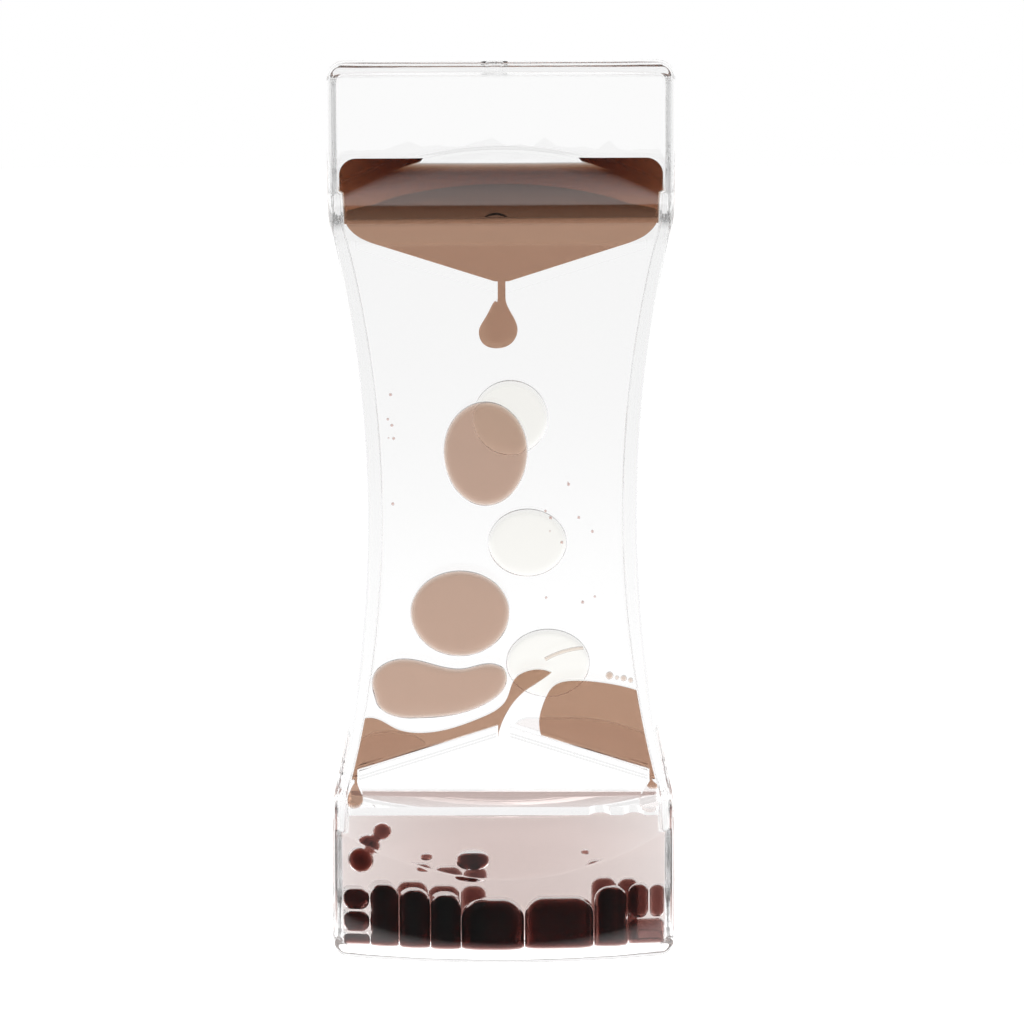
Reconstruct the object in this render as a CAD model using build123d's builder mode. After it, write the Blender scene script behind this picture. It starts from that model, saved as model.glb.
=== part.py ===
"""Liquid motion timer: a clear waisted case with two sealed chambers, one behind the other.

The origin is the centre of the base, +Z is up, the front faces -Y and lengths are millimetres.
The front chamber holds brown water in clear oil, the rear chamber cream water in clear oil.
Water runs through the nozzle of the upper funnel as flattened drops, sinks through the thin
channel in the waist, lands on the lower roof, runs out at its sides and gathers at the base.
"""
from build123d import *
import os
from math import atan2, cos, radians, sqrt, tan

os.makedirs("parts", exist_ok=True)

# Case
case_height = 140.0
end_width = 53.6
waist_width = 42.9
waist_end_height = 25.0
bow_depth = 31.0
end_side_depth = 18.0
middle_depth = 12.0
shoulder_foot = 24.8
shoulder_top = 13.9
crease_radius = 10.0
waist_end_radius = 12.0
front_corner_radius = 2.8
outer_edge_radius = 1.6
shoulder_edge_radius = 0.8
side_relief = 0.05

# Walls
face_wall = 2.0
end_wall = 2.0
reservoir_side_wall = 1.9
channel_side_wall = 2.5
inner_corner_radius = 1.2
inner_edge_radius = 0.8
divider_thickness = 1.6

# Vanes of the funnel and of the roof
vane_thickness = 1.4
vane_angle = 17.5
vane_apex_height = 34.4
nozzle_gap = 2.2
side_gap = 1.1

# Filler plugs
plug_x = -0.9
plug_y = 7.0
plug_head_diameter = 3.8
plug_head_thickness = 0.9
plug_stem_diameter = 2.6
plug_clearance = 0.1

# Oil film between water and a wall, and the gap between two drops that touch
film = 0.3
drop_gap = 0.25
drop_edge_radius = 1.2

# Brown water above the funnel, and the drop that hangs from its nozzle
brown_top_air = 15.0
pool_corner_reach = 5.0
pool_corner_radius = 2.6
teardrop_shares = ((0.13, 0.15), (0.33, 0.4), (0.5, 0.68), (0.37, 0.91))
neck_share = 0.75
neck_overlap = 0.6
brown_hanging_length = 10.7
brown_hanging_width = 6.0
brown_hanging_x = -0.8

# Falling brown drops: centre across, centre up, width, height above it and height below it
upper_drop_x = -2.6
upper_drop_z = 79.4
upper_drop_width = 13.3
upper_drop_rise = 7.8
upper_drop_fall = 8.6
lower_drop_x = -6.7
lower_drop_z = 54.1
lower_drop_width = 15.7
lower_drop_rise = 6.6
lower_drop_fall = 7.0

# Brown drop that rests, still whole, on the pool of the left roof vane
resting_drop_left = -20.5
resting_drop_foot = 37.3
resting_drop_width = 21.2
resting_drop_height = 9.5
resting_drop_shares = (
    (0.0, 0.46), (0.03, 0.82), (0.15, 0.98), (0.31, 0.99), (0.5, 0.88), (0.68, 0.84),
    (0.86, 0.92), (0.98, 0.82), (0.99, 0.56), (0.86, 0.26), (0.64, 0.07), (0.35, 0.0),
    (0.14, 0.05), (0.04, 0.2),
)

# Brown pools on the roof vanes: shares of their reach from the axis and of their rise above the apex
left_pool_reach = 24.6
left_pool_rise = 10.4
left_pool_shares = (
    (-1.0, 0.2), (-0.93, 0.25), (-0.87, 0.3), (-0.79, 0.27), (-0.69, 0.14), (-0.55, 0.07),
    (-0.36, 0.12), (-0.15, 0.29), (0.02, 0.57), (0.08, 0.9), (0.15, 1.0), (0.31, 0.98),
)
left_pool_tip_shares = ((0.31, 0.98), (0.23, 0.84), (0.13, 0.68), (0.03, 0.4), (-0.03, 0.05))
left_drip_length = 7.2
left_drip_width = 2.6
right_pool_reach = 24.6
right_pool_rise = 8.9
right_pool_shares = (
    (0.24, 0.05), (0.23, 0.3), (0.26, 0.62), (0.33, 0.92), (0.46, 1.0), (0.62, 0.97),
    (0.84, 0.84), (1.0, 0.66),
)
right_drip_length = 3.8
right_drip_width = 1.8
drip_press_share = 0.42
bead_shares = ((0.68, 1.08, 1.0), (0.728, 1.04, 0.56), (0.77, 1.03, 0.8), (0.815, 0.995, 0.68))
bead_radius = 0.64
thread_radius = 0.3
thread_start = (6.6, 46.6)
thread_middle = (9.4, 47.8)
thread_end = (12.6, 48.4)

# Brown drops that sink through the lower reservoir
pair_wall_gap = 3.5
pair_y = -3.15
pair_z = 15.2
pair_radius = 2.05
pair_small_radius = 1.5
pair_small_right = 2.3
pair_small_up = 2.7
pair_neck_radius = 0.9
sinking_x = -4.8
sinking_y = -6.4
sinking_z = 13.9
sinking_width = 5.4
sinking_height = 3.0
satellite_x_shares = (-2.7, 6.5)
satellite_z_shares = (0.2, 0.45)
satellite_width_shares = (0.36, 0.24)

# Brown drops heaped on the floor of the lower reservoir: shares of its clear width and of the heap
heap_height = 9.7
heap_width_shares = (0.087, 0.089, 0.095, 0.093, 0.196, 0.216, 0.106, 0.118)
heap_rim_share = 0.42
back_row_depth = 3.4
stack_height_shares = ((0.0, 0.17), (0.2, 0.53), (0.56, 0.9))
column_names = ("first", "second", "third", "fourth")
column_slots = (1, 2, 3, 6)
column_top_shares = (1.0, 0.94, 0.88, 0.96)
column_back_top_shares = (0.0, 0.99, 0.93, 0.0)
big_names = ("left", "right")
big_slots = (4, 5)
big_top_shares = (0.8, 0.81)
back_drop_widths = (3.6, 3.7, 3.0)
back_drop_x_shares = (-0.18, 0.6, 0.75)
back_drop_top_shares = (0.93, 1.04, 1.02)
right_foot_top_share = 0.4
right_top_width_shares = (0.54, 0.4)
right_top_shares = (0.98, 0.95)

# Cream water above the funnel, its hanging drop and its falling drops
cream_top_air = 28.7
cream_corner_reach = 1.5
cream_hanging_length = 10.0
cream_hanging_width = 4.6
cream_hanging_x = -0.5
cream_drop_names = ("upper", "middle", "lower")
cream_drop_x = (1.3, 3.9, 7.1)
cream_drop_z = (84.4, 64.7, 45.6)
cream_drop_width = (11.9, 12.5, 13.3)
cream_drop_height = (11.9, 10.8, 10.9)

# Cream pools on the roof vanes and at the base
cream_left_reach = 24.6
cream_left_rise = 3.0
cream_left_shares = (
    (-1.0, -0.5), (-0.92, -0.27), (-0.83, 0.02), (-0.7, 0.1), (-0.58, -0.1), (-0.5, -0.6), (-0.5, -1.0)
)
cream_right_reach = 24.6
cream_right_rise = 2.4
cream_right_shares = (
    (0.1, 0.25), (0.075, 0.55), (0.11, 0.88), (0.22, 1.0), (0.5, 0.97), (0.72, 0.62), (0.88, 0.1),
    (1.0, -0.3),
)
cream_drip_length = 9.6
cream_drip_width = 3.4
cream_base_level = 19.4
cream_dome_x_shares = (0.62, 0.84)
cream_dome_radius = 2.4
cream_dome_lift = 0.7

# One overrun serves every cut
overrun = 20.0

half_height = case_height / 2
half_end = end_width / 2
half_waist = waist_width / 2
channel_depth = middle_depth / 2 - face_wall - divider_thickness / 2
channel_middle_y = divider_thickness / 2 + channel_depth / 2
end_sagitta = (bow_depth - end_side_depth) / 2
bow_radius = (half_end**2 + end_sagitta**2) / (2 * end_sagitta)
shoulder_angle = atan2(shoulder_foot - shoulder_top, (bow_depth - middle_depth) / 2)
heap_floor = end_wall + film
brown_top_level = case_height - brown_top_air
cream_top_level = case_height - cream_top_air
pair_x = pair_wall_gap + reservoir_side_wall - half_end


def bow_reach(x, inset):
    """Distance from the middle plane to the bowed face, moved in by inset, at a place x across."""
    centre = bow_depth / 2 - bow_radius
    return centre + sqrt((bow_radius - inset) ** 2 - x**2)


def shoulder_height(y, inset):
    """Height of the lower shoulder's slope, moved in by inset, at a distance y from the middle plane."""
    return shoulder_foot + (middle_depth / 2 - y) * tan(shoulder_angle) - inset / cos(shoulder_angle)


def side_view(face_inset, end_inset):
    """Side view of the case, moved in by the insets: bowed ends that slope into a thin middle."""
    half_bow = bow_depth / 2 - face_inset
    half_middle = middle_depth / 2 - face_inset
    crease = shoulder_height(half_middle, face_inset)
    top = shoulder_height(half_bow, face_inset)
    with BuildSketch() as outline:
        with BuildLine():
            Polyline((0, end_inset), (half_bow, end_inset), (half_bow, top), (half_middle, crease))
            Line((half_middle, crease), (half_middle, half_height))
            mirror(about=Plane.XZ.offset(-half_height))
            mirror(about=Plane.YZ)
        make_face()
        creases = vertices().filter_by(lambda v: abs(abs(v.X) - half_middle) < film)
        fillet(creases, crease_radius + face_inset)
    return outline.sketch


def plan_view(face_inset, side_inset):
    """Case seen from above, moved in by the insets: flat sides and bowed faces."""
    side = half_end - side_inset + side_relief
    corner = bow_reach(side, face_inset)
    front = bow_depth / 2 - face_inset
    with BuildSketch() as outline:
        with BuildLine():
            Line((side, -corner), (side, corner))
            ThreePointArc((side, corner), (0, front), (-side, corner))
            Line((-side, corner), (-side, -corner))
            ThreePointArc((-side, -corner), (0, -front), (side, -corner))
        make_face()
    return outline.sketch


def front_view(end_side_inset, waist_side_inset, end_inset, corner_radius):
    """Waisted front view of the case, moved in by the insets, with rounded corners."""
    side = half_end - end_side_inset
    with BuildSketch() as outline:
        with BuildLine():
            Polyline((0, end_inset), (side, end_inset), (side, waist_end_height))
            ThreePointArc(
                (side, waist_end_height),
                (half_waist - waist_side_inset, half_height),
                (side, case_height - waist_end_height),
            )
            Polyline(
                (side, case_height - waist_end_height),
                (side, case_height - end_inset),
                (0, case_height - end_inset),
            )
            mirror(about=Plane.YZ)
        make_face()
        near_corner = half_height - end_inset - film
        corners = vertices().filter_by(lambda v: abs(v.X) > side - film)
        fillet(corners.filter_by(lambda v: abs(v.Y - half_height) < near_corner), waist_end_radius)
        corners = vertices().filter_by(lambda v: abs(v.X) > side - film)
        fillet(corners.filter_by(lambda v: abs(v.Y - half_height) > near_corner), corner_radius)
    return outline.sketch


def case_block(face_inset, end_side_inset, waist_side_inset, end_inset, corner_radius, edge_radius):
    """Solid of the whole case, moved in by the insets, from its three views, with rounded edges."""
    with BuildPart() as block:
        with BuildSketch(Plane.YZ):
            add(side_view(face_inset, end_inset))
        extrude(amount=end_width, both=True)
        with BuildSketch():
            add(plan_view(face_inset, end_side_inset))
        extrude(amount=case_height, mode=Mode.INTERSECT)
        with BuildSketch(Plane.XZ):
            add(front_view(end_side_inset, waist_side_inset, end_inset, corner_radius))
        extrude(amount=bow_depth, both=True, mode=Mode.INTERSECT)
        uprights = edges().filter_by(
            lambda e: e.bounding_box().size.X < e.bounding_box().size.Z
            and abs(e.center().Z - half_height) < half_height - end_inset - corner_radius
        )
        fillet(uprights, edge_radius)
        brows = edges().filter_by(
            lambda e: e.bounding_box().size.X > e.bounding_box().size.Z > front_corner_radius
        )
        fillet(brows, shoulder_edge_radius)
    return block.part


outer_block = case_block(0, 0, 0, 0, front_corner_radius, outer_edge_radius)
cavity_block = case_block(
    face_wall, reservoir_side_wall, channel_side_wall, end_wall, inner_corner_radius, inner_edge_radius
)
liquid_block = case_block(
    face_wall + film,
    reservoir_side_wall + film,
    channel_side_wall + film,
    end_wall + film,
    inner_corner_radius,
    inner_edge_radius,
)


drop_thickness = channel_depth - 2 * film
channel_half_waist = half_waist - channel_side_wall
channel_sagitta = half_end - reservoir_side_wall - channel_half_waist
channel_radius = ((half_height - waist_end_height) ** 2 + channel_sagitta**2) / (2 * channel_sagitta)
liquid_half_width = half_end - reservoir_side_wall - film


def finish(builder, name):
    """Labels a finished piece and writes it under its own name."""
    builder.part.label = name
    export_step(builder.part, f"parts/{name}.step")


def chamber_plane(side, clearance=0.0):
    """Front-view plane on the divider's face, or off it by a clearance; side is -1 in front."""
    return Plane.XZ.offset(-side * (divider_thickness / 2 + clearance))


def wall_x(z, clearance):
    """Half width of the thin channel at a height z, less a clearance."""
    arc_x = channel_half_waist + channel_radius - sqrt(channel_radius**2 - (z - half_height) ** 2)
    return min(arc_x, half_end - reservoir_side_wall) - clearance


def vane_under(x):
    """Height of a roof vane's lower face at a distance x from the axis."""
    return vane_apex_height - (x - nozzle_gap / 2) * tan(radians(vane_angle))


def vane_over(x):
    """Height of a roof vane's upper face at a distance x from the axis."""
    return vane_under(x) + vane_thickness / cos(radians(vane_angle))


vane_end_x = wall_x(vane_over(half_waist), 0) - side_gap


def vane_outline(upper, across, growth=0.0):
    """Front view of one vane, of the funnel or of the roof, to the left (-1) or the right (1)."""
    inner = nozzle_gap / 2
    with BuildSketch() as outline:
        with BuildLine():
            Polyline(
                (inner, vane_under(inner)),
                (vane_end_x, vane_under(vane_end_x)),
                (vane_end_x, vane_over(vane_end_x)),
                (inner, vane_over(inner)),
                close=True,
            )
        make_face()
        if growth > 0:
            offset(amount=growth, kind=Kind.INTERSECTION, mode=Mode.REPLACE)
        if across < 0:
            mirror(about=Plane.YZ, mode=Mode.REPLACE)
        if upper:
            mirror(about=Plane.XZ.offset(-half_height), mode=Mode.REPLACE)
    return outline.sketch


# Case: the two shells and the divider that they are bonded to
for name, side in (("front_shell", -1), ("rear_shell", 1)):
    with BuildPart() as shell:
        add(outer_block)
        add(cavity_block, mode=Mode.SUBTRACT)
        with Locations((plug_x, side * plug_y, case_height)):
            CounterBoreHole(
                radius=(plug_stem_diameter + plug_clearance) / 2,
                counter_bore_radius=(plug_head_diameter + plug_clearance) / 2,
                counter_bore_depth=plug_head_thickness,
                depth=end_wall,
            )
        with BuildSketch(chamber_plane(side)):
            with Locations((0, half_height)):
                Rectangle(end_width + overrun, case_height + overrun)
        extrude(amount=-side * bow_depth, mode=Mode.INTERSECT)
    finish(shell, name)

with BuildPart() as centre_divider:
    add(outer_block)
    with BuildSketch(Plane.XZ):
        with Locations((0, half_height)):
            Rectangle(end_width + overrun, case_height + overrun)
    extrude(amount=divider_thickness / 2, both=True, mode=Mode.INTERSECT)
finish(centre_divider, "centre_divider")

# Filler plugs, each with its head in the counterbore
for name, side in (("front_filler_plug", -1), ("rear_filler_plug", 1)):
    with BuildPart() as plug:
        with Locations((plug_x, side * plug_y, case_height - plug_head_thickness)):
            Cylinder(
                plug_head_diameter / 2, plug_head_thickness, align=(Align.CENTER, Align.CENTER, Align.MIN)
            )
            Cylinder(
                plug_stem_diameter / 2,
                end_wall - plug_head_thickness,
                align=(Align.CENTER, Align.CENTER, Align.MAX),
            )
    finish(plug, name)

# Vanes: a funnel above and a roof below in each chamber, each of a left and a right vane
for chamber, side in (("front", -1), ("rear", 1)):
    for level, upper in (("funnel", True), ("roof", False)):
        for hand, across in (("left", -1), ("right", 1)):
            with BuildPart() as vane:
                with BuildSketch(chamber_plane(side)):
                    add(vane_outline(upper, across))
                extrude(amount=-side * channel_depth)
            finish(vane, f"{chamber}_{level}_vane_{hand}")


def waist_face(clearance):
    """Front view of the thin channel in the waist, moved in from its walls by a clearance."""
    return front_view(
        reservoir_side_wall + clearance, channel_side_wall + clearance, shoulder_top, inner_corner_radius
    )


def egg(x, z, width, rise, fall):
    """Smooth oval that reaches rise above its centre and fall below it."""
    with BuildSketch() as outline:
        with BuildLine():
            EllipticalCenterArc((x, z), width / 2, rise, start_angle=0, arc_size=180)
            EllipticalCenterArc((x, z), width / 2, fall, start_angle=180, arc_size=180)
        make_face()
    return outline.sketch


def flat_drop(outline, side):
    """Drop that fills the channel from wall to wall, but for the oil films, with rounded rims."""
    with BuildPart() as drop:
        with BuildSketch(chamber_plane(side, film)):
            add(outline)
        extrude(amount=-side * drop_thickness)
        rims = faces().sort_by(Axis.Y)
        fillet(rims[0].edges() + rims[-1].edges(), drop_edge_radius)
    return drop.part


def teardrop(neck_x, top, neck_width, belly_x, width, length):
    """Hanging drop: a neck straight down past a vane's end, then a round belly that leans to belly_x."""
    foot = top - vane_thickness / cos(radians(vane_angle)) - neck_overlap
    belly = foot - top + length
    lean = belly_x - neck_x
    middle = [(neck_x + lean * down, foot - belly * down) for across, down in teardrop_shares]
    right = [(x + width * across, z) for (x, z), (across, down) in zip(middle, teardrop_shares)]
    left = [(x - width * across, z) for (x, z), (across, down) in zip(middle, teardrop_shares)]
    with BuildSketch() as outline:
        with BuildLine():
            Spline(
                (neck_x + neck_width / 2, foot),
                *right,
                (belly_x, top - length),
                *reversed(left),
                (neck_x - neck_width / 2, foot),
                tangents=((0, -1), (0, 1)),
            )
            Polyline(
                (neck_x - neck_width / 2, foot),
                (neck_x - neck_width / 2, top),
                (neck_x + neck_width / 2, top),
                (neck_x + neck_width / 2, foot),
            )
        make_face()
    return outline.sketch


def nozzle_drop(belly_x, width, length):
    """Drop that hangs from the nozzle of a funnel, its neck reaching up into the water above."""
    top = case_height - vane_under(nozzle_gap / 2) + neck_overlap
    return teardrop(0, top, (nozzle_gap - 2 * film) * neck_share, belly_x, width, length)


def funnel_outline(level, corner_reach, hanging):
    """Front view of the water above a funnel up to its level, with the drop that hangs below it.

    Where the vane would meet the side wall, the water's edge is a round corner of a given reach.
    """
    rise = film / cos(radians(vane_angle))
    slope = tan(radians(vane_angle))
    low_x = nozzle_gap / 2
    low = case_height - vane_under(low_x) + rise
    turn_x = vane_end_x + side_gap - film - corner_reach
    turn = low + (turn_x - low_x) * slope
    top = turn + corner_reach * (1 + slope)
    with BuildSketch() as outline:
        with BuildLine():
            Line((0, low), (low_x, low))
            Line((low_x, low), (turn_x, turn))
            Spline(
                (turn_x, turn),
                (wall_x(top, film), top),
                tangents=((1, slope), (0, 1)),
            )
            Polyline(
                (wall_x(top, film), top),
                (half_end, top),
                (half_end, case_height),
                (0, case_height),
            )
            mirror(about=Plane.YZ)
        make_face()
        add(waist_face(film), mode=Mode.INTERSECT)
        with Locations((0, level)):
            Rectangle(end_width, case_height, align=(Align.CENTER, Align.MIN), mode=Mode.SUBTRACT)
        add(hanging)
    return outline.sketch


# Brown water above the front funnel: thin in the channel, deep in the reservoir
brown_hanging = nozzle_drop(brown_hanging_x, brown_hanging_width, brown_hanging_length)
channel_top = case_height - shoulder_foot
with BuildPart() as brown_top_pool:
    with BuildSketch(chamber_plane(-1, film)):
        add(funnel_outline(channel_top, pool_corner_reach, brown_hanging))
    extrude(amount=drop_thickness)
    with BuildSketch(chamber_plane(-1, film)):
        with Locations((0, channel_top)):
            Rectangle(
                2 * (liquid_half_width - side_relief),
                brown_top_level - channel_top,
                align=(Align.CENTER, Align.MIN),
            )
        fillet(vertices().group_by(Axis.Y)[-1], pool_corner_radius)
    extrude(amount=bow_depth)
    add(liquid_block, mode=Mode.INTERSECT)
finish(brown_top_pool, "brown_top_pool")

# Brown drops falling through the front channel, and the one that rests on the left pool
upper_outline = egg(upper_drop_x, upper_drop_z, upper_drop_width, upper_drop_rise, upper_drop_fall)
lower_outline = egg(lower_drop_x, lower_drop_z, lower_drop_width, lower_drop_rise, lower_drop_fall)
with BuildSketch() as resting_outline:
    with BuildLine():
        Spline(
            *[
                (
                    resting_drop_left + resting_drop_width * across,
                    resting_drop_foot + resting_drop_height * up,
                )
                for across, up in resting_drop_shares
            ],
            periodic=True,
        )
    make_face()
for name, outline in (
    ("brown_upper_drop", upper_outline),
    ("brown_lower_drop", lower_outline),
    ("brown_resting_drop", resting_outline.sketch),
):
    with BuildPart() as brown_drop:
        add(flat_drop(outline, -1))
    finish(brown_drop, name)


def pool_points(shares, reach, rise):
    """Places on a pool's free surface, from shares of its reach and of its rise above the apex."""
    return [(reach * across, vane_apex_height + rise * up) for across, up in shares]


def side_drip(across, width, length):
    """Water that hangs below a roof vane's end, its neck in the side gap, pressed to the wall."""
    top = vane_over(vane_end_x) + neck_overlap
    wall = wall_x(top - length, film)
    with BuildSketch() as outline:
        add(
            teardrop(
                across * (vane_end_x + side_gap / 2),
                top,
                (side_gap - 2 * film) * neck_share,
                across * (wall - width * drip_press_share),
                width,
                length,
            )
        )
    return outline.sketch


def roof_pool(surface, tip, across, drip):
    """Front view of the water on a roof vane, clear of the walls and the vane, with its drip."""
    start = surface[0] if across > 0 else surface[-1]
    with BuildSketch() as outline:
        with BuildLine():
            Spline(*surface)
            if tip:
                Spline(*tip)
                start = tip[-1]
            outer = surface[-1] if across > 0 else surface[0]
            Polyline(
                start,
                (start[0], vane_under(abs(start[0]))),
                (across * vane_end_x, vane_under(vane_end_x)),
                (outer[0], vane_under(vane_end_x)),
                outer,
            )
        make_face()
        if drip:
            add(drip)
        add(waist_face(film), mode=Mode.INTERSECT)
        add(vane_outline(False, across, film), mode=Mode.SUBTRACT)
        pieces = faces().sort_by(SortBy.AREA)
    return pieces[-1]


def channel_water(outline, side):
    """Water that fills the channel from wall to wall, but for the oil films."""
    with BuildPart() as water:
        with BuildSketch(chamber_plane(side, film)):
            add(outline)
        extrude(amount=-side * drop_thickness)
    return water.part


# Brown pools on the roof vanes
left_surface = pool_points(left_pool_shares, left_pool_reach, left_pool_rise)
left_tip = pool_points(left_pool_tip_shares, left_pool_reach, left_pool_rise)
left_drip = side_drip(-1, left_drip_width, left_drip_length)
right_surface = pool_points(right_pool_shares, right_pool_reach, right_pool_rise)
right_drip = side_drip(1, right_drip_width, right_drip_length)
for name, outline in (
    ("brown_left_pool", roof_pool(left_surface, left_tip, -1, left_drip)),
    ("brown_right_pool", roof_pool(right_surface, (), 1, right_drip)),
):
    with BuildPart() as brown_pool:
        add(channel_water(outline, -1))
    finish(brown_pool, name)

# Small brown beads left on top of the right pool
with BuildPart() as brown_beads:
    for across, up, size in bead_shares:
        with Locations(
            (right_pool_reach * across, -channel_middle_y, vane_apex_height + right_pool_rise * up)
        ):
            Sphere(bead_radius * size)
finish(brown_beads, "brown_beads")

# Thin brown thread that a drop has drawn out behind it
with BuildPart() as brown_thread:
    with BuildLine(Plane.XZ.offset(channel_middle_y)) as thread_path:
        ThreePointArc(thread_start, thread_middle, thread_end)
    with BuildSketch(Plane(origin=thread_path.line @ 0, z_dir=thread_path.line % 0)):
        Circle(thread_radius)
    sweep()
finish(brown_thread, "brown_thread")


def oval_drop(width, height):
    """Free drop, round in plan and flattened in height, centred on its origin."""
    with BuildPart() as drop:
        with BuildSketch(Plane.XZ):
            with BuildLine():
                Spline((0, -height / 2), (width / 2, 0), (0, height / 2), tangents=((1, 0), (-1, 0)))
                Line((0, height / 2), (0, -height / 2))
            make_face()
        revolve(axis=Axis.Z)
    return drop.part


# Two brown drops joined by a neck, sinking at the left of the front reservoir
with BuildPart() as brown_sinking_pair:
    with Locations((pair_x, pair_y, pair_z)):
        Sphere(pair_radius)
    with Locations((pair_x + pair_small_right, pair_y, pair_z + pair_small_up)):
        Sphere(pair_small_radius)
    with BuildLine() as pair_neck:
        Line((pair_x, pair_y, pair_z), (pair_x + pair_small_right, pair_y, pair_z + pair_small_up))
    with BuildSketch(Plane(origin=pair_neck.line @ 0, z_dir=pair_neck.line % 0)):
        Circle(pair_neck_radius)
    sweep()
finish(brown_sinking_pair, "brown_sinking_pair")

# A larger drop sinking in the middle, with a small satellite on each side
with BuildPart() as brown_sinking_drop:
    with Locations((sinking_x, sinking_y, sinking_z)):
        add(oval_drop(sinking_width, sinking_height))
finish(brown_sinking_drop, "brown_sinking_drop")

with BuildPart() as brown_satellites:
    for across, up, size in zip(satellite_x_shares, satellite_z_shares, satellite_width_shares):
        with Locations((sinking_x + sinking_width / 2 * across, sinking_y, sinking_z + sinking_height * up)):
            add(oval_drop(sinking_width * size, sinking_height * size))
finish(brown_satellites, "brown_satellites")

# The heap on the floor: slots side by side across the front reservoir, widths by share
clear_width = 2 * liquid_half_width - drop_gap * (len(heap_width_shares) - 1)
slot_widths = [clear_width * share for share in heap_width_shares]
slot_centres = [
    sum(slot_widths[:slot]) + drop_gap * slot + slot_widths[slot] / 2 - liquid_half_width
    for slot in range(len(slot_widths))
]
heap_back_y = divider_thickness / 2 + film


def heap_level(share):
    """Height in the heap, by share of its full height."""
    return heap_floor + heap_height * share


def heap_drop(name, x, width, row, low_share, top_share):
    """Writes one drop of the heap, squashed square between its neighbours, with rounded rims.

    It reaches from the divider to the bowed face, or fills only the front or the back row.
    """
    back = heap_back_y
    front = bow_reach(min(abs(x) + width / 2, liquid_half_width), face_wall + film)
    if row == "front":
        back = heap_back_y + back_row_depth + drop_gap
    if row == "back":
        front = heap_back_y + back_row_depth
    height = heap_level(top_share) - heap_level(low_share)
    with BuildPart() as drop:
        with Locations((x, -(front + back) / 2, heap_level(low_share))):
            Box(width, front - back, height, align=(Align.CENTER, Align.CENTER, Align.MIN))
        foot_edges = edges().group_by(Axis.Z)[0] if low_share == 0 else []
        rims = [e for e in edges() if e not in foot_edges]
        fillet(rims, min(width, front - back, height) * heap_rim_share)
    finish(drop, name)


for place, (low_share, top_share) in zip(("bottom", "middle", "top"), stack_height_shares):
    name = f"brown_heap_stack_{place}"
    heap_drop(name, slot_centres[0], slot_widths[0], "whole", low_share, top_share)

for name, slot, front_top, back_top in zip(
    column_names, column_slots, column_top_shares, column_back_top_shares
):
    name = f"brown_heap_{name}_column"
    row = "whole" if slot == column_slots[0] else "front"
    heap_drop(name, slot_centres[slot], slot_widths[slot], row, 0, front_top)
    if back_top:
        heap_drop(name + "_back", slot_centres[slot], slot_widths[slot], "back", 0, back_top)

for name, slot, top_share in zip(big_names, big_slots, big_top_shares):
    heap_drop(f"brown_heap_big_{name}", slot_centres[slot], slot_widths[slot], "front", 0, top_share)

for count, (width, x_share, top_share) in enumerate(
    zip(back_drop_widths, back_drop_x_shares, back_drop_top_shares), start=1
):
    heap_drop(f"brown_heap_back_drop_{count}", liquid_half_width * x_share, width, "back", 0, top_share)

# The last slot holds a low drop with two more on top of it
right_centre = slot_centres[-1]
right_width = slot_widths[-1]
heap_drop("brown_heap_right_foot", right_centre, right_width, "front", 0, right_foot_top_share)
for name, width_share, top_share, hand in zip(
    ("inner", "outer"), right_top_width_shares, right_top_shares, (-1, 1)
):
    width = right_width * width_share
    heap_drop(
        f"brown_heap_right_{name}", right_centre + hand * (right_width - width) / 2, width, "front",
        right_foot_top_share + drop_gap / heap_height, top_share,
    )

# Cream water above the rear funnel, with its own hanging drop
cream_hanging = nozzle_drop(cream_hanging_x, cream_hanging_width, cream_hanging_length)
with BuildPart() as cream_top_pool:
    add(channel_water(funnel_outline(cream_top_level, cream_corner_reach, cream_hanging), 1))
finish(cream_top_pool, "cream_top_pool")

# Cream drops falling through the rear channel
for name, x, z, width, height in zip(
    cream_drop_names, cream_drop_x, cream_drop_z, cream_drop_width, cream_drop_height
):
    with BuildPart() as cream_drop:
        add(flat_drop(egg(x, z, width, height / 2, height / 2), 1))
    finish(cream_drop, f"cream_{name}_drop")

# Cream pools on the rear roof vanes
cream_left_surface = pool_points(cream_left_shares, cream_left_reach, cream_left_rise)
cream_right_surface = pool_points(cream_right_shares, cream_right_reach, cream_right_rise)
cream_drip = side_drip(1, cream_drip_width, cream_drip_length)
for name, outline in (
    ("cream_left_pool", roof_pool(cream_left_surface, (), -1, None)),
    ("cream_right_pool", roof_pool(cream_right_surface, (), 1, cream_drip)),
):
    with BuildPart() as cream_pool:
        add(channel_water(outline, 1))
    finish(cream_pool, name)

# Cream water that has gathered in the rear reservoir, with two drops just merging into it
with BuildPart() as cream_base_pool:
    with BuildSketch(chamber_plane(1, film)):
        Rectangle(end_width, cream_base_level, align=(Align.CENTER, Align.MIN))
        with Locations(*[
            (liquid_half_width * share, cream_base_level - cream_dome_radius + cream_dome_lift)
            for share in cream_dome_x_shares
        ]):
            Circle(cream_dome_radius)
    extrude(amount=-bow_depth)
    add(liquid_block, mode=Mode.INTERSECT)
finish(cream_base_pool, "cream_base_pool")
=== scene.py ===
"""Looks of the liquid motion timer: clear moulded case, brown and cream water, oil, and a white studio."""
import math

import bmesh
import bpy
from bpy.props import FloatProperty, FloatVectorProperty, PointerProperty
from bpy.types import Operator, Panel, PropertyGroup
from mathutils import Matrix, Vector
from mathutils.bvhtree import BVHTree


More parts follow.
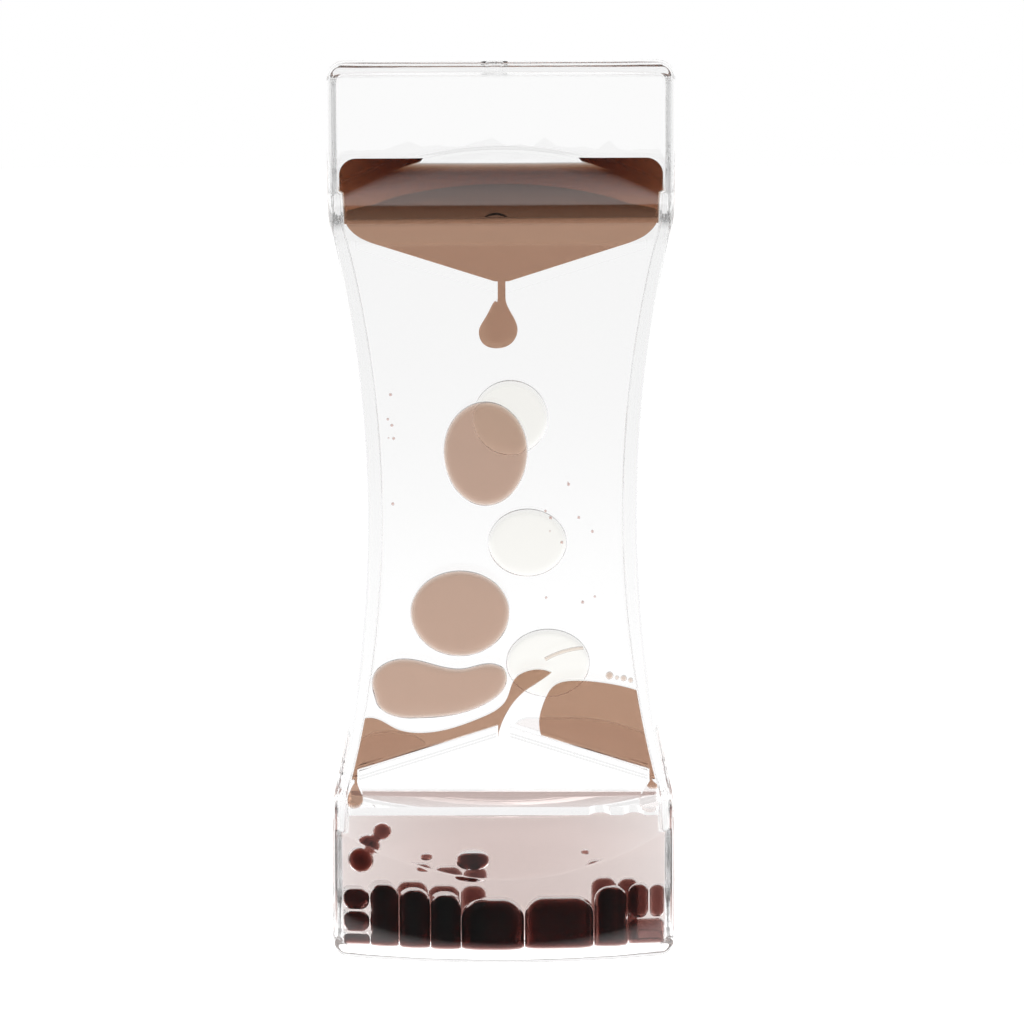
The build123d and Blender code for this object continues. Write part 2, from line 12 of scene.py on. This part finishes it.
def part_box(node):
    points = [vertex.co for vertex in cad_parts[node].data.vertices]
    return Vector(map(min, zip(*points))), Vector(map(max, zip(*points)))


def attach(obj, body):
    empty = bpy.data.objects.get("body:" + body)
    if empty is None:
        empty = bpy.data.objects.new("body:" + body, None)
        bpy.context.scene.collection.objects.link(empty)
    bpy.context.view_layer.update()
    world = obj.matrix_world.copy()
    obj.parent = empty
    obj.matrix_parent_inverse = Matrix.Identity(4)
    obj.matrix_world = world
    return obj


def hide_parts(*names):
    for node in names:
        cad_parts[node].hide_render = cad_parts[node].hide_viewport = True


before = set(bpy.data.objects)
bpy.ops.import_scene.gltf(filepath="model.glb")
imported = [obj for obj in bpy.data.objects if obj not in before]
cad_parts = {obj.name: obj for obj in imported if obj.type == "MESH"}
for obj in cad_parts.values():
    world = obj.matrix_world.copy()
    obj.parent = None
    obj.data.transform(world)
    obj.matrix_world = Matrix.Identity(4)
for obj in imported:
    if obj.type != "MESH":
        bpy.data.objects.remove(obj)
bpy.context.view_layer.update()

bl_info = {
    "name": "Liquid motion timer",
    "version": (1, 0, 0),
    "blender": (4, 5, 0),
    "location": "View3D > Sidebar > Timer",
    "description": "Dresses a liquid motion timer: case, vanes, brown and cream water, and its studio",
    "category": "Object",
}

MM = 0.001

# Refractive indices of the real materials
IOR_PLASTIC = 1.57
IOR_OIL = 1.47
IOR_WATER = 1.333

# Each shell, with the side of the divider that it stands on
SHELLS = (("front_shell", -1), ("rear_shell", 1))

# How near the divider a corner is bonded, and the film that keeps two clear faces from lying in one place
BOND_REACH = 0.02 * MM
BOND_GAP = 0.02 * MM

# How much wider a drop of the heap is shown, so that it presses on its neighbours
HEAP_SWELL = 0.2 * MM

# Clean-up of the CAD meshes, and the test of what lies in front of a face
MERGE_REACH = 0.001 * MM
PROBE_STEP = 0.01 * MM
SHARP_ANGLE = math.radians(32)
NEUTRAL_WEIGHT = 50

# Y part of a normal past which a shell's face looks at the divider, and past which a face of the divider
# is one of its two broad ones
FACING_DIVIDER = 0.3
FLAT_ON = 0.9

# Least share of light that a tint may leave, and how far the density lies over the strongest rate, so
# that no part of the colour falls to zero
DARKEST_SHARE = 0.001
DENSITY_MARGIN = 1.05

# Specks of water: how many hang in each box of oil, and the box's low and high corner in millimetres
SPECK_BOXES = (
    ("right", 11, (5.2, -3.3, 50.0), (17.0, -1.5, 76.0)),
    ("left", 6, (-18.0, -3.3, 66.0), (-16.6, -1.5, 90.0)),
)
SPECK_SEED = 3
# Size of the smallest speck beside the largest, and how finely a speck's ball is cut
SMALLEST_SPECK = 0.4
SPECK_CUTS = 2

WHITE = (1.0, 1.0, 1.0, 1.0)
# What a wall of the case leaves of a lamp's light
CASE_SHADOW = (0.97, 0.97, 0.97, 1)
FLOOR_WHITE = "#f4f4f4"

# Upward part of a direction at which the surroundings begin to dim, and at which they are dimmest
CEILING_EDGES = (0.35, 0.95)
# Depth in metres, in front of the timer, at which the floor's mirror image turns from dark to bright
FOOT_STRIP = (-0.034, -0.026)

# Soft lamps: place, width in metres and power in watts
LAMPS = (
    ("top_softbox", (0.0, -0.1, 0.7), 0.6, 4.0),
    ("left_softbox", (-0.7, -0.5, 0.4), 0.4, 2.0),
    ("right_softbox", (0.7, -0.5, 0.4), 0.4, 2.0),
)
LAMP_AIM = Vector((0, 0, 0.07))

# Light crosses many clear faces, and is mirrored inside the walls
BOUNCES = {
    "max_bounces": 32,
    "transmission_bounces": 32,
    "glossy_bounces": 16,
    "transparent_max_bounces": 48,
}

# Camera, found by matching the case's outline in the photograph, and the distances between which it sees
CAMERA_SHIFT = 0.0015
CAMERA_ROLL = math.radians(-0.2)
CAMERA_REACH = (0.01, 50)
SENSOR_WIDTH = 36


def linear(colour):
    """Turns an sRGB hex colour, such as "#c0a090", into linear red, green, blue and alpha."""
    channels = [int(colour[place:place + 2], 16) / 255 for place in (1, 3, 5)]
    return (*[c / 12.92 if c <= 0.04045 else ((c + 0.055) / 1.055) ** 2.4 for c in channels], 1.0)


def colour_property(name, description, colour):
    """A colour, given in sRGB hex."""
    return FloatVectorProperty(
        name=name, description=description, subtype="COLOR", size=4, min=0, max=1, default=linear(colour),
    )


def length_property(name, description, metres):
    """A length in metres."""
    return FloatProperty(
        name=name, description=description, subtype="DISTANCE", unit="LENGTH", default=metres,
    )


def level_property(name, description, level):
    """A brightness or a share, where 1 is white or the whole."""
    return FloatProperty(name=name, description=description, default=level)


class CaseLook(PropertyGroup):
    """Tint of the clear moulded case."""

    tint: colour_property("Tint", "What white light keeps of its colour through one wall", "#fefefe")
    wall: length_property("Wall", "Wall that the tint is for", 2 * MM)


class WaterLook(PropertyGroup):
    """Colours of the two waters."""

    brown: colour_property("Brown", "Colour of the channel's depth of brown water against white", "#b38f79")
    falling_brown: colour_property(
        "Falling brown", "Colour of a brown drop that the oil keeps thin", "#c2a594"
    )
    deep_brown: colour_property("Deep brown", "Colour of the same depth of the heap's water", "#7c4e48")
    sinking_brown: colour_property(
        "Sinking brown", "Colour of the same depth of the drops that sink in front of the heap", "#662e26"
    )
    cream: colour_property("Cream", "Colour of the same depth of cream water in a pool", "#f5f1f0")
    falling_cream: colour_property(
        "Falling cream", "Colour of a cream drop that the oil keeps thin", "#faf9f5"
    )
    drop_depth: length_property("Drop depth", "Depth of water that the colours are for", 2.6 * MM)


class SpecksLook(PropertyGroup):
    """Specks of brown water, too small to sink fast, that hang in the front channel's oil."""

    radius: length_property("Radius", "Radius of the largest speck", 0.3 * MM)


class StageLook(PropertyGroup):
    """The studio and the camera."""

    unseen: level_property("Unseen white", "Brightness of the surroundings for light that is not seen", 0.7)
    ceiling: level_property("Ceiling", "Brightness of the surroundings right overhead", 0.4)
    mirrored: level_property("Mirrored white", "Brightness of the surroundings in mirrored rays", 1.2)
    through: level_property("White through", "Brightness of the surroundings through clear pieces", 0.97)
    floor_size: length_property("Floor", "Width of the white floor", 60.0)
    glow_share: level_property("Glow share", "Share of the floor's light that takes no shadow", 0.75)
    glow: level_property("Glow", "Brightness of that light", 1.2)
    glow_through: level_property("Glow through", "Brightness of that light through clear pieces", 1.14)
    strip: level_property("Foot strip", "Brightness of the floor near the foot in mirrored rays", 2.0)
    black: level_property("Black", "Brightness of the card and of the floor before it, mirrored", 0.1)
    card_width: length_property("Card width", "Width of the black card", 1.6)
    card_height: length_property("Card height", "Height of the black card", 0.112)
    card_distance: length_property("Card distance", "How far in front of the timer the card stands", 0.8)
    lens: FloatProperty(
        name="Lens", description="Focal length of the camera", subtype="DISTANCE_CAMERA", default=134.6,
    )
    camera_height: length_property("Camera height", "Height of the camera over the floor", 0.126)
    camera_distance: length_property("Camera distance", "Distance of the camera from the timer", 0.6)
    aim_height: length_property("Aim height", "Height on the timer that the camera points at", 0.0695)


def add_node(tree, kind, settings=None, **inputs):
    """Adds a node, sets its settings and inputs, and links each input that is given a socket."""
    made = tree.nodes.new(kind)
    for name, value in (settings or {}).items():
        setattr(made, name, value)
    for name, value in inputs.items():
        socket = made.inputs[int(name[1:])] if name[0] == "_" else made.inputs[name.replace("_", " ")]
        if isinstance(value, bpy.types.NodeSocket):
            tree.links.new(value, socket)
        else:
            socket.default_value = value
    return made


def maths(tree, operation, first, second):
    """The result of a sum with two values or sockets."""
    return add_node(tree, "ShaderNodeMath", {"operation": operation}, _0=first, _1=second).outputs[0]


def spread(tree, value, low, high, at_low, at_high):
    """Turns a value between low and high into one between at_low and at_high, and stops at those ends."""
    return add_node(
        tree, "ShaderNodeMapRange", _0=value, _1=low, _2=high, _3=at_low, _4=at_high,
    ).outputs[0]


def by_ray(tree, ray, other, such):
    """One value for rays of a kind, and another for all other rays."""
    return spread(tree, ray, 0.0, 1.0, other, such)


def coordinate(tree, space, axis):
    """One coordinate of the place that is shaded, or of the direction in the surroundings."""
    place = add_node(tree, "ShaderNodeTexCoord").outputs[space]
    return add_node(tree, "ShaderNodeSeparateXYZ", _0=place).outputs[axis]


def seen_rays(tree, path):
    """1 for rays that end in what the camera sees, straight, mirrored or through clear pieces."""
    seen = maths(tree, "MAXIMUM", path["Is Camera Ray"], path["Is Glossy Ray"])
    return maths(tree, "MAXIMUM", seen, path["Is Transmission Ray"])


def mix_shaders(tree, share, first, second):
    """First where share is 0, second where it is 1."""
    return add_node(tree, "ShaderNodeMixShader", _0=share, _1=first, _2=second).outputs[0]


def emission(tree, strength):
    """Even white light of a given strength."""
    return add_node(tree, "ShaderNodeEmission", Color=WHITE, Strength=strength).outputs[0]


def clear_surface(tree, ior, shadow_tint):
    """Glass for what is seen, and a plain tint for rays from lamps, so that they reach what is inside."""
    glass = add_node(tree, "ShaderNodeBsdfGlass", IOR=ior, Roughness=0.0, Color=WHITE)
    passing = add_node(tree, "ShaderNodeBsdfTransparent", Color=shadow_tint)
    path = add_node(tree, "ShaderNodeLightPath").outputs
    return mix_shaders(tree, path["Is Shadow Ray"], glass.outputs[0], passing.outputs[0])


def joined_surface(tree):
    """No surface at all, for a face that is bonded to another or can't be seen in the oil."""
    return add_node(tree, "ShaderNodeBsdfTransparent", Color=WHITE).outputs[0]


def absorb(tree, tint, depth):
    """Absorption that leaves the tint, given linear, of white light that crosses a depth in metres."""
    rates = [-math.log(max(share, DARKEST_SHARE)) / depth for share in tint[:3]]
    density = max(rates) * DENSITY_MARGIN
    colour = (*[1 - rate / density for rate in rates], 1.0)
    return add_node(tree, "ShaderNodeVolumeAbsorption", Color=colour, Density=density).outputs[0]


def new_material(name):
    """An empty node material of that name, with its tree."""
    material = bpy.data.materials.new(name)
    material.use_nodes = True
    material.node_tree.nodes.clear()
    return material, material.node_tree


def case_plastic(name, tint, depth):
    """Clear plastic, injection moulded, with the index of styrene acrylonitrile.

    It is glossy against air, nearly lost against the oil, and gone in the bond with the divider.
    """
    material, tree = new_material(name)
    against_oil = add_node(tree, "ShaderNodeAttribute", {"attribute_name": "against_oil"}).outputs["Fac"]
    bonded = add_node(tree, "ShaderNodeAttribute", {"attribute_name": "bonded"}).outputs["Fac"]
    in_air = clear_surface(tree, IOR_PLASTIC, CASE_SHADOW)
    in_oil = clear_surface(tree, IOR_PLASTIC / IOR_OIL, CASE_SHADOW)
    seen = mix_shaders(tree, against_oil, in_air, in_oil)
    surface = mix_shaders(tree, bonded, seen, joined_surface(tree))
    add_node(tree, "ShaderNodeOutputMaterial", Surface=surface, Volume=absorb(tree, tint, depth))
    return material


def plain_plastic(name, ior):
    """The same plastic for a small inner piece, too thin to take colour from its depth."""
    material, tree = new_material(name)
    add_node(tree, "ShaderNodeOutputMaterial", Surface=clear_surface(tree, ior, CASE_SHADOW))
    return material


def divider_plastic(name):
    """Clear sheet: its faces lie in oil and in the bond, where it can't be seen, and its edges in air."""
    material, tree = new_material(name)
    normal = add_node(tree, "ShaderNodeNewGeometry").outputs["True Normal"]
    turned = add_node(tree, "ShaderNodeSeparateXYZ", _0=normal).outputs["Y"]
    turned = add_node(tree, "ShaderNodeMath", {"operation": "ABSOLUTE"}, _0=turned).outputs[0]
    face = maths(tree, "GREATER_THAN", turned, FLAT_ON)
    edge = clear_surface(tree, IOR_PLASTIC, CASE_SHADOW)
    surface = mix_shaders(tree, face, edge, joined_surface(tree))
    add_node(tree, "ShaderNodeOutputMaterial", Surface=surface)
    return material


def dyed_water(name, tint, depth, shadow_tint):
    """Dyed water in oil: it bends light less than the oil, and takes colour by its depth."""
    material, tree = new_material(name)
    surface = clear_surface(tree, IOR_WATER / IOR_OIL, linear(shadow_tint))
    add_node(tree, "ShaderNodeOutputMaterial", Surface=surface, Volume=absorb(tree, tint, depth))
    return material


def merged_copy(node, name):
    """A copy of a CAD node's mesh with its loose triangles merged, smooth but for its sharp edges."""
    shape = bmesh.new()
    shape.from_mesh(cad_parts[node].data)
    bmesh.ops.remove_doubles(shape, verts=shape.verts, dist=MERGE_REACH)
    bmesh.ops.dissolve_degenerate(shape, edges=shape.edges, dist=MERGE_REACH)
    for face in shape.faces:
        face.smooth = True
    for edge in shape.edges:
        edge.smooth = edge.is_manifold and edge.calc_face_angle(0) < SHARP_ANGLE
    mesh = bpy.data.meshes.new(name)
    shape.to_mesh(mesh)
    shape.free()
    piece = bpy.data.objects.new(name, mesh)
    bpy.context.scene.collection.objects.link(piece)
    return piece


def settle(piece, modifier):
    """Gives a piece the mesh that its modifier makes, and removes the modifier."""
    graph = bpy.context.evaluated_depsgraph_get()
    mesh = bpy.data.meshes.new_from_object(piece.evaluated_get(graph))
    piece.modifiers.remove(modifier)
    piece.data = mesh


def weigh_normals(piece):
    """Lets the large faces of a piece set its normals, so that its fillets don't bend what is seen."""
    weights = piece.modifiers.new("weights", "WEIGHTED_NORMAL")
    weights.mode = "FACE_AREA"
    weights.weight = NEUTRAL_WEIGHT
    weights.keep_sharp = True
    settle(piece, weights)


def stand_in(piece, node):
    """Smooths a finished copy, hangs it on the housing, and hides the node that it stands in for."""
    weigh_normals(piece)
    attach(piece, "housing")
    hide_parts(node)


def sort_surfaces(mesh, side):
    """Marks each face of a shell that lies against oil, or in the bond with the divider."""
    shape = bmesh.new()
    shape.from_mesh(mesh)
    tree = BVHTree.FromBMesh(shape)
    bond_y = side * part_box("centre_divider")[1].y
    against_oil = shape.faces.layers.float.new("against_oil")
    bonded = shape.faces.layers.float.new("bonded")
    for face in shape.faces:
        probe = face.calc_center_median() + face.normal * PROBE_STEP
        if all(abs(corner.co.y - bond_y) < BOND_REACH for corner in face.verts):
            face[bonded] = 1.0
        elif face.normal.y * side < -FACING_DIVIDER or tree.ray_cast(probe, face.normal)[0] is not None:
            face[against_oil] = 1.0
    for corner in shape.verts:
        if abs(corner.co.y - bond_y) < BOND_REACH:
            corner.co.y += side * BOND_GAP
    shape.to_mesh(mesh)
    shape.free()


def clear_vane(node, plastic):
    """Stands in for a vane, a little thinner than the gap between the wall and the divider."""
    piece = merged_copy(node, "clear_" + node)
    middle = sum(corner.co.y for corner in piece.data.vertices) / len(piece.data.vertices)
    for corner in piece.data.vertices:
        corner.co.y -= math.copysign(BOND_GAP, corner.co.y - middle)
    piece.data.materials.append(plastic)
    stand_in(piece, node)


def pressed_drop(node, water):
    """Stands in for a drop of the heap, a little wider, so that drops press on one another as they do."""
    piece = merged_copy(node, "pressed_" + node)
    low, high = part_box(node)
    middle = (low.x + high.x) / 2
    growth = 1 + HEAP_SWELL / (high.x - low.x)
    for corner in piece.data.vertices:
        corner.co.x = middle + (corner.co.x - middle) * growth
    piece.data.materials.append(water)
    stand_in(piece, node)


class TIMER_OT_case(Operator):
    """Makes the two clear shells, with a surface for air, one for oil and one for the bond."""

    bl_idname = "timer.case"
    bl_label = "Case shells"

    def execute(self, context):
        look = context.scene.timer_case
        plastic = case_plastic("clear_moulded_plastic", look.tint, look.wall)
        for node, side in SHELLS:
            piece = merged_copy(node, "clear_" + node)
            piece.data.materials.append(plastic)
            sort_surfaces(piece.data, side)
            stand_in(piece, node)
        return {"FINISHED"}


class TIMER_OT_inner_plastic(Operator):
    """Gives the divider, the vanes and the filler plugs their plastics."""

    bl_idname = "timer.inner_plastic"
    bl_label = "Divider, vanes and plugs"

    def execute(self, context):
        vane = plain_plastic("vane_plastic_in_oil", IOR_PLASTIC / IOR_OIL)
        plug = plain_plastic("plug_plastic", IOR_PLASTIC)
        divider = divider_plastic("divider_sheet_plastic")
        for name, piece in list(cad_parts.items()):
            if "vane" in name:
                clear_vane(name, vane)
            elif "plug" in name:
                piece.material_slots[0].material = plug
            elif name == "centre_divider":
                piece.material_slots[0].material = divider
        return {"FINISHED"}


class TIMER_OT_water(Operator):
    """Gives the brown and the cream water their colours."""

    bl_idname = "timer.water"
    bl_label = "Brown and cream water"

    def execute(self, context):
        look = context.scene.timer_water
        # Each water's name, its colour, and what a drop leaves of a lamp's light
        brown, falling, deep, sinking, thin_cream, cream = [
            dyed_water(name, tint, look.drop_depth, shadow_tint)
            for name, tint, shadow_tint in (
                ("brown_dyed_water", look.brown, "#d8c4b8"),
                ("brown_dyed_water_thin", look.falling_brown, "#e0d0c8"),
                ("brown_dyed_water_deep", look.deep_brown, "#a08070"),
                ("brown_dyed_water_sinking", look.sinking_brown, "#a08070"),
                ("cream_dyed_water_thin", look.falling_cream, "#faf7f4"),
                ("cream_dyed_water", look.cream, "#faf7f4"),
            )
        ]
        for name, piece in list(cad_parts.items()):
            if name.startswith("cream"):
                piece.material_slots[0].material = thin_cream if name.endswith("drop") else cream
            elif "heap" in name:
                pressed_drop(name, deep)
            elif "sinking" in name or "satellite" in name:
                piece.material_slots[0].material = sinking
            elif name in ("brown_upper_drop", "brown_lower_drop", "brown_resting_drop"):
                piece.material_slots[0].material = falling
            elif name.startswith("brown"):
                piece.material_slots[0].material = brown
        return {"FINISHED"}


def speck_tree():
    """Scatters small balls of several sizes in a box."""
    tree = bpy.data.node_groups.new("specks_in_oil", "GeometryNodeTree")
    for name, kind in (
        ("Count", "NodeSocketInt"), ("Low corner", "NodeSocketVector"), ("High corner", "NodeSocketVector"),
        ("Radius", "NodeSocketFloat"), ("Seed", "NodeSocketInt"), ("Material", "NodeSocketMaterial"),
    ):
        tree.interface.new_socket(name=name, in_out="INPUT", socket_type=kind)
    tree.interface.new_socket(name="Geometry", in_out="OUTPUT", socket_type="NodeSocketGeometry")
    given = add_node(tree, "NodeGroupInput").outputs
    place = add_node(
        tree, "FunctionNodeRandomValue", {"data_type": "FLOAT_VECTOR"},
        _0=given["Low corner"], _1=given["High corner"], Seed=given["Seed"],
    )
    size = add_node(
        tree, "FunctionNodeRandomValue", {"data_type": "FLOAT"},
        _2=SMALLEST_SPECK, _3=1.0, Seed=given["Seed"],
    )
    points = add_node(tree, "GeometryNodePoints", Count=given["Count"], Position=place.outputs["Value"])
    ball = add_node(tree, "GeometryNodeMeshIcoSphere", Radius=given["Radius"], Subdivisions=SPECK_CUTS)
    placed = add_node(
        tree, "GeometryNodeInstanceOnPoints", Points=points.outputs[0], Instance=ball.outputs["Mesh"],
        Scale=size.outputs[1],
    )
    real = add_node(tree, "GeometryNodeRealizeInstances", Geometry=placed.outputs[0])
    smooth = add_node(tree, "GeometryNodeSetShadeSmooth", Geometry=real.outputs[0])
    painted = add_node(
        tree, "GeometryNodeSetMaterial", Geometry=smooth.outputs[0], Material=given["Material"],
    )
    add_node(tree, "NodeGroupOutput", Geometry=painted.outputs[0])
    return tree


class TIMER_OT_specks(Operator):
    """Scatters specks of water beside the falling drops, clear of their paths."""

    bl_idname = "timer.specks"
    bl_label = "Specks"

    def execute(self, context):
        look = context.scene.timer_specks
        tree = speck_tree()
        for side, count, low, high in SPECK_BOXES:
            name = "oil_specks_" + side
            piece = bpy.data.objects.new(name, bpy.data.meshes.new(name))
            context.scene.collection.objects.link(piece)
            scatter = piece.modifiers.new("scatter", "NODES")
            scatter.node_group = tree
            values = {
                "Count": count,
                "Low corner": [place * MM for place in low],
                "High corner": [place * MM for place in high],
                "Radius": look.radius,
                "Seed": SPECK_SEED,
                "Material": bpy.data.materials["brown_dyed_water_sinking"],
            }
            for socket in tree.interface.items_tree:
                if socket.in_out == "INPUT":
                    scatter[socket.identifier] = values[socket.name]
            settle(piece, scatter)
            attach(piece, "housing")
        return {"FINISHED"}


def stage_sheet(name, corners, material):
    """Adds a flat sheet with four corners to the stage."""
    mesh = bpy.data.meshes.new(name)
    mesh.from_pydata(corners, [], [(0, 1, 2, 3)])
    mesh.materials.append(material)
    sheet = bpy.data.objects.new(name, mesh)
    bpy.context.scene.collection.objects.link(sheet)
    return sheet


def white_surroundings(look):
    """White all round that dims overhead, brighter in mirrored rays than through clear pieces."""
    world = bpy.data.worlds.new("white_studio")
    bpy.context.scene.world = world
    world.use_nodes = True
    tree = world.node_tree
    tree.nodes.clear()
    path = add_node(tree, "ShaderNodeLightPath").outputs
    level = by_ray(tree, seen_rays(tree, path), look.unseen, 1.0)
    for factor in (
        spread(tree, coordinate(tree, "Generated", "Z"), *CEILING_EDGES, 1.0, look.ceiling),
        by_ray(tree, path["Is Reflection Ray"], 1.0, look.mirrored),
        by_ray(tree, path["Is Transmission Ray"], 1.0, look.through),
    ):
        level = maths(tree, "MULTIPLY", level, factor)
    background = add_node(tree, "ShaderNodeBackground", Color=WHITE, Strength=level)
    add_node(tree, "ShaderNodeOutputWorld", Surface=background.outputs[0])


def white_floor(look):
    """White floor that takes a faint shadow, and is mirrored dark up to the foot and bright from there on."""
    material, tree = new_material("white_floor")
    path = add_node(tree, "ShaderNodeLightPath").outputs
    share = maths(tree, "MULTIPLY", seen_rays(tree, path), look.glow_share)
    shaded = add_node(tree, "ShaderNodeBsdfDiffuse", Color=linear(FLOOR_WHITE)).outputs[0]
    glow = emission(tree, by_ray(tree, path["Is Camera Ray"], look.glow_through, look.glow))
    seen = mix_shaders(tree, share, shaded, glow)
    strip = spread(tree, coordinate(tree, "Object", "Y"), *FOOT_STRIP, look.black, look.strip)
    surface = mix_shaders(tree, path["Is Reflection Ray"], seen, emission(tree, strip))
    add_node(tree, "ShaderNodeOutputMaterial", Surface=surface)
    half = look.floor_size / 2
    corners = [(-half, -half, 0), (half, -half, 0), (half, half, 0), (-half, half, 0)]
    stage_sheet("studio_floor", corners, material)


def black_card(look):
    """Black card behind the camera, as in a product studio, that only mirrored rays see."""
    material, tree = new_material("black_card_paper")
    add_node(tree, "ShaderNodeOutputMaterial", Surface=emission(tree, look.black))
    width, height, far = look.card_width / 2, look.card_height, -look.card_distance
    corners = [(-width, far, 0), (width, far, 0), (width, far, height), (-width, far, height)]
    card = stage_sheet("black_card", corners, material)
    card.visible_camera = card.visible_diffuse = card.visible_transmission = card.visible_shadow = False


def soft_lamps():
    """Square lamps that light the floor and the shadow, and that no mirrored ray sees."""
    for name, place, size, power in LAMPS:
        lamp = bpy.data.lights.new(name, "AREA")
        lamp.shape = "SQUARE"
        lamp.size = size
        lamp.energy = power
        lit = bpy.data.objects.new(name, lamp)
        lit.location = place
        lit.rotation_euler = (LAMP_AIM - Vector(place)).to_track_quat("-Z", "Y").to_euler()
        lit.visible_glossy = lit.visible_transmission = False
        bpy.context.scene.collection.objects.link(lit)


def photo_camera(look):
    """Camera that stands and points as the photograph's did."""
    camera = bpy.data.cameras.new("photo_camera")
    camera.lens = look.lens
    camera.sensor_width = SENSOR_WIDTH
    camera.clip_start, camera.clip_end = CAMERA_REACH
    seat = bpy.data.objects.new("photo_camera", camera)
    place = Vector((CAMERA_SHIFT, -look.camera_distance, look.camera_height))
    aim = Vector((CAMERA_SHIFT, 0, look.aim_height))
    turn = (aim - place).to_track_quat("-Z", "Y").to_matrix().to_4x4()
    seat.matrix_world = Matrix.Translation(place) @ turn @ Matrix.Rotation(CAMERA_ROLL, 4, "Z")
    bpy.context.scene.collection.objects.link(seat)
    bpy.context.scene.camera = seat


class TIMER_OT_stage(Operator):
    """Makes the white surroundings, the floor, the black card, the soft lamps and the camera."""

    bl_idname = "timer.stage"
    bl_label = "Stage"

    def execute(self, context):
        scene = context.scene
        scene.view_settings.view_transform = "Standard"
        for name, count in BOUNCES.items():
            setattr(scene.cycles, name, count)
        white_surroundings(scene.timer_stage)
        white_floor(scene.timer_stage)
        black_card(scene.timer_stage)
        soft_lamps()
        photo_camera(scene.timer_stage)
        return {"FINISHED"}


class TIMER_PT_panel(Panel):
    """Lists the timer's operators."""

    bl_label = "Liquid motion timer"
    bl_idname = "TIMER_PT_panel"
    bl_space_type = "VIEW_3D"
    bl_region_type = "UI"
    bl_category = "Timer"

    def draw(self, context):
        for step in STEPS:
            self.layout.operator(step.bl_idname)


STEPS = (TIMER_OT_case, TIMER_OT_inner_plastic, TIMER_OT_water, TIMER_OT_specks, TIMER_OT_stage)
LOOKS = (
    ("timer_case", CaseLook),
    ("timer_water", WaterLook),
    ("timer_specks", SpecksLook),
    ("timer_stage", StageLook),
)


def register():
    for _, look in LOOKS:
        bpy.utils.register_class(look)
    for step in STEPS:
        bpy.utils.register_class(step)
    bpy.utils.register_class(TIMER_PT_panel)
    for name, look in LOOKS:
        setattr(bpy.types.Scene, name, PointerProperty(type=look))


def unregister():
    for name, _ in LOOKS:
        delattr(bpy.types.Scene, name)
    bpy.utils.unregister_class(TIMER_PT_panel)
    for step in reversed(STEPS):
        bpy.utils.unregister_class(step)
    for _, look in reversed(LOOKS):
        bpy.utils.unregister_class(look)


def main():
    register()
    for step in STEPS:
        group, name = step.bl_idname.split(".")
        getattr(getattr(bpy.ops, group), name)()


if __name__ == "__main__":
    main()
